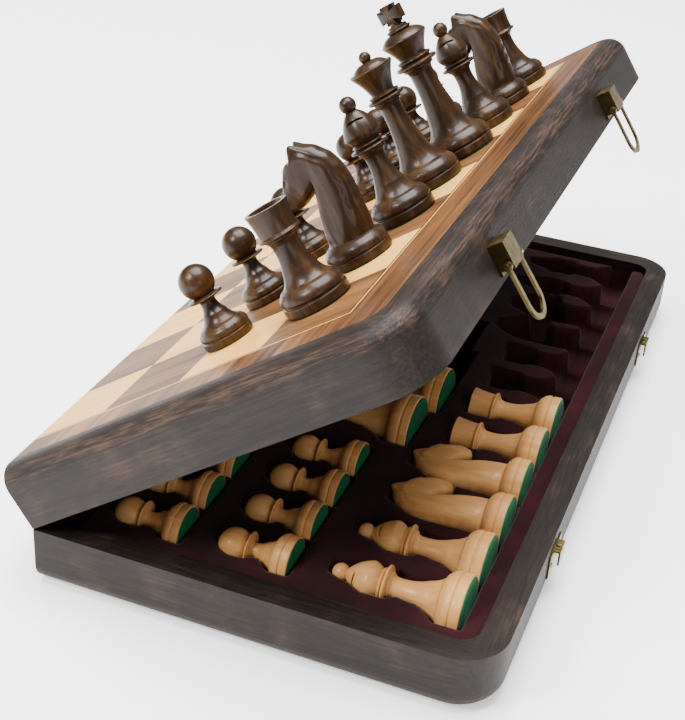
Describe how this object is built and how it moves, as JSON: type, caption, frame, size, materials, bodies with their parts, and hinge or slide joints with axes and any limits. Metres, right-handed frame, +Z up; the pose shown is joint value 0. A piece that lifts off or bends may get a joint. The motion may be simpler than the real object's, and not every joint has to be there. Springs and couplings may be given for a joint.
{
  "type": "folding chess box",
  "caption": "Folding wooden chess box: hinged half-board lid and tray, two loop latches, recessed flocked insert, turned men stored and standing.",
  "frame": {"origin": "centre of the tray's underside", "axes": "+X along the case's length from the near end to the far end, -Y towards the latches, +Z up"},
  "size_m": [0.381, 0.213, 0.1973],
  "materials": {
    "frame": "satin",
    "ply": "matte",
    "maple": "satin",
    "walnut": "satin",
    "stringing": "satin",
    "flock": "flocked",
    "brass": "antiqued",
    "steel": "plain",
    "dark_men": "polished",
    "light_men": "polished"
  },
  "bodies": {
    "tray": {"tray_front_rail": "frame", "tray_back_rail": "frame", "tray_near_rail": "frame", "tray_far_rail": "frame", "tray_board": "ply", "tray_light_squares": "maple", "tray_dark_squares": "walnut", "tray_border": "walnut", "insert": "flock", "tray_hinge_leaves": "brass", "hinge_pins": "steel", "catches": "brass"},
    "lid": {"lid_front_rail": "frame", "lid_back_rail": "frame", "lid_near_rail": "frame", "lid_far_rail": "frame", "lid_board": "ply", "lid_light_squares": "maple", "lid_dark_squares": "walnut", "lid_border": "walnut", "lid_stringing": "stringing", "lid_pad": "flock", "lid_hinge_leaves": "brass", "latch_brackets": "brass"},
    "near_latch_loop": {"near_latch_loop": "brass"},
    "far_latch_loop": {"far_latch_loop": "brass"},
    "dark_rook_near": {"dark_rook_near": "dark_men"},
    "dark_knight_near": {"dark_knight_near": "dark_men"},
    "dark_bishop_near": {"dark_bishop_near": "dark_men"},
    "dark_queen": {"dark_queen": "dark_men"},
    "dark_king": {"dark_king": "dark_men"},
    "dark_bishop_far": {"dark_bishop_far": "dark_men"},
    "dark_knight_far": {"dark_knight_far": "dark_men"},
    "dark_rook_far": {"dark_rook_far": "dark_men"},
    "dark_pawn_1": {"dark_pawn_1": "dark_men"},
    "dark_pawn_2": {"dark_pawn_2": "dark_men"},
    "dark_pawn_3": {"dark_pawn_3": "dark_men"},
    "dark_pawn_4": {"dark_pawn_4": "dark_men"},
    "dark_pawn_5": {"dark_pawn_5": "dark_men"},
    "dark_pawn_6": {"dark_pawn_6": "dark_men"},
    "dark_pawn_7": {"dark_pawn_7": "dark_men"},
    "dark_pawn_8": {"dark_pawn_8": "dark_men"},
    "light_bishop_1": {"light_bishop_1": "light_men"},
    "light_bishop_2": {"light_bishop_2": "light_men"},
    "light_knight_1": {"light_knight_1": "light_men"},
    "light_knight_2": {"light_knight_2": "light_men"},
    "light_rook_1": {"light_rook_1": "light_men"},
    "light_rook_2": {"light_rook_2": "light_men"},
    "light_king": {"light_king": "light_men"},
    "light_queen": {"light_queen": "light_men"},
    "light_pawn_1": {"light_pawn_1": "light_men"},
    "light_pawn_2": {"light_pawn_2": "light_men"},
    "light_pawn_3": {"light_pawn_3": "light_men"},
    "light_pawn_4": {"light_pawn_4": "light_men"},
    "light_pawn_5": {"light_pawn_5": "light_men"},
    "light_pawn_6": {"light_pawn_6": "light_men"},
    "light_pawn_7": {"light_pawn_7": "light_men"},
    "light_pawn_8": {"light_pawn_8": "light_men"}
  },
  "joints": [
    {"name": "lid_hinge", "type": "hinge", "parent": "tray", "child": "lid", "pos_m": [0, 0.097, 0.027], "axis": [-1, 0, 0], "range_deg": [-35, 145]},
    {"name": "near_latch", "type": "hinge", "parent": "lid", "child": "near_latch_loop", "pos_m": [-0.0985, -0.06277, 0.14559], "axis": [-1, 0, 0], "range_deg": [-4, 130]},
    {"name": "far_latch", "type": "hinge", "parent": "lid", "child": "far_latch_loop", "pos_m": [0.0985, -0.06277, 0.14559], "axis": [-1, 0, 0], "range_deg": [-4, 130]},
    {"name": "dark_rook_near_lift", "type": "slide", "parent": "lid", "child": "dark_rook_near", "axis": [0, 0.5736, 0.8192], "range_m": [0, 0.05]},
    {"name": "dark_knight_near_lift", "type": "slide", "parent": "lid", "child": "dark_knight_near", "axis": [0, 0.5736, 0.8192], "range_m": [0, 0.05]},
    {"name": "dark_bishop_near_lift", "type": "slide", "parent": "lid", "child": "dark_bishop_near", "axis": [0, 0.5736, 0.8192], "range_m": [0, 0.05]},
    {"name": "dark_queen_lift", "type": "slide", "parent": "lid", "child": "dark_queen", "axis": [0, 0.5736, 0.8192], "range_m": [0, 0.05]},
    {"name": "dark_king_lift", "type": "slide", "parent": "lid", "child": "dark_king", "axis": [0, 0.5736, 0.8192], "range_m": [0, 0.05]},
    {"name": "dark_bishop_far_lift", "type": "slide", "parent": "lid", "child": "dark_bishop_far", "axis": [0, 0.5736, 0.8192], "range_m": [0, 0.05]},
    {"name": "dark_knight_far_lift", "type": "slide", "parent": "lid", "child": "dark_knight_far", "axis": [0, 0.5736, 0.8192], "range_m": [0, 0.05]},
    {"name": "dark_rook_far_lift", "type": "slide", "parent": "lid", "child": "dark_rook_far", "axis": [0, 0.5736, 0.8192], "range_m": [0, 0.05]},
    {"name": "dark_pawn_1_lift", "type": "slide", "parent": "lid", "child": "dark_pawn_1", "axis": [0, 0.5736, 0.8192], "range_m": [0, 0.05]},
    {"name": "dark_pawn_2_lift", "type": "slide", "parent": "lid", "child": "dark_pawn_2", "axis": [0, 0.5736, 0.8192], "range_m": [0, 0.05]},
    {"name": "dark_pawn_3_lift", "type": "slide", "parent": "lid", "child": "dark_pawn_3", "axis": [0, 0.5736, 0.8192], "range_m": [0, 0.05]},
    {"name": "dark_pawn_4_lift", "type": "slide", "parent": "lid", "child": "dark_pawn_4", "axis": [0, 0.5736, 0.8192], "range_m": [0, 0.05]},
    {"name": "dark_pawn_5_lift", "type": "slide", "parent": "lid", "child": "dark_pawn_5", "axis": [0, 0.5736, 0.8192], "range_m": [0, 0.05]},
    {"name": "dark_pawn_6_lift", "type": "slide", "parent": "lid", "child": "dark_pawn_6", "axis": [0, 0.5736, 0.8192], "range_m": [0, 0.05]},
    {"name": "dark_pawn_7_lift", "type": "slide", "parent": "lid", "child": "dark_pawn_7", "axis": [0, 0.5736, 0.8192], "range_m": [0, 0.05]},
    {"name": "dark_pawn_8_lift", "type": "slide", "parent": "lid", "child": "dark_pawn_8", "axis": [0, 0.5736, 0.8192], "range_m": [0, 0.05]},
    {"name": "light_bishop_1_lift", "type": "slide", "parent": "tray", "child": "light_bishop_1", "axis": [0, 0, 1], "range_m": [0, 0.02]},
    {"name": "light_bishop_2_lift", "type": "slide", "parent": "tray", "child": "light_bishop_2", "axis": [0, 0, 1], "range_m": [0, 0.02]},
    {"name": "light_knight_1_lift", "type": "slide", "parent": "tray", "child": "light_knight_1", "axis": [0, 0, 1], "range_m": [0, 0.02]},
    {"name": "light_knight_2_lift", "type": "slide", "parent": "tray", "child": "light_knight_2", "axis": [0, 0, 1], "range_m": [0, 0.02]},
    {"name": "light_rook_1_lift", "type": "slide", "parent": "tray", "child": "light_rook_1", "axis": [0, 0, 1], "range_m": [0, 0.02]},
    {"name": "light_rook_2_lift", "type": "slide", "parent": "tray", "child": "light_rook_2", "axis": [0, 0, 1], "range_m": [0, 0.02]},
    {"name": "light_king_lift", "type": "slide", "parent": "tray", "child": "light_king", "axis": [0, 0, 1], "range_m": [0, 0.02]},
    {"name": "light_queen_lift", "type": "slide", "parent": "tray", "child": "light_queen", "axis": [0, 0, 1], "range_m": [0, 0.02]},
    {"name": "light_pawn_1_lift", "type": "slide", "parent": "tray", "child": "light_pawn_1", "axis": [0, 0, 1], "range_m": [0, 0.02]},
    {"name": "light_pawn_2_lift", "type": "slide", "parent": "tray", "child": "light_pawn_2", "axis": [0, 0, 1], "range_m": [0, 0.02]},
    {"name": "light_pawn_3_lift", "type": "slide", "parent": "tray", "child": "light_pawn_3", "axis": [0, 0, 1], "range_m": [0, 0.02]},
    {"name": "light_pawn_4_lift", "type": "slide", "parent": "tray", "child": "light_pawn_4", "axis": [0, 0, 1], "range_m": [0, 0.02]},
    {"name": "light_pawn_5_lift", "type": "slide", "parent": "tray", "child": "light_pawn_5", "axis": [0, 0, 1], "range_m": [0, 0.02]},
    {"name": "light_pawn_6_lift", "type": "slide", "parent": "tray", "child": "light_pawn_6", "axis": [0, 0, 1], "range_m": [0, 0.02]},
    {"name": "light_pawn_7_lift", "type": "slide", "parent": "tray", "child": "light_pawn_7", "axis": [0, 0, 1], "range_m": [0, 0.02]},
    {"name": "light_pawn_8_lift", "type": "slide", "parent": "tray", "child": "light_pawn_8", "axis": [0, 0, 1], "range_m": [0, 0.02]}
  ]
}
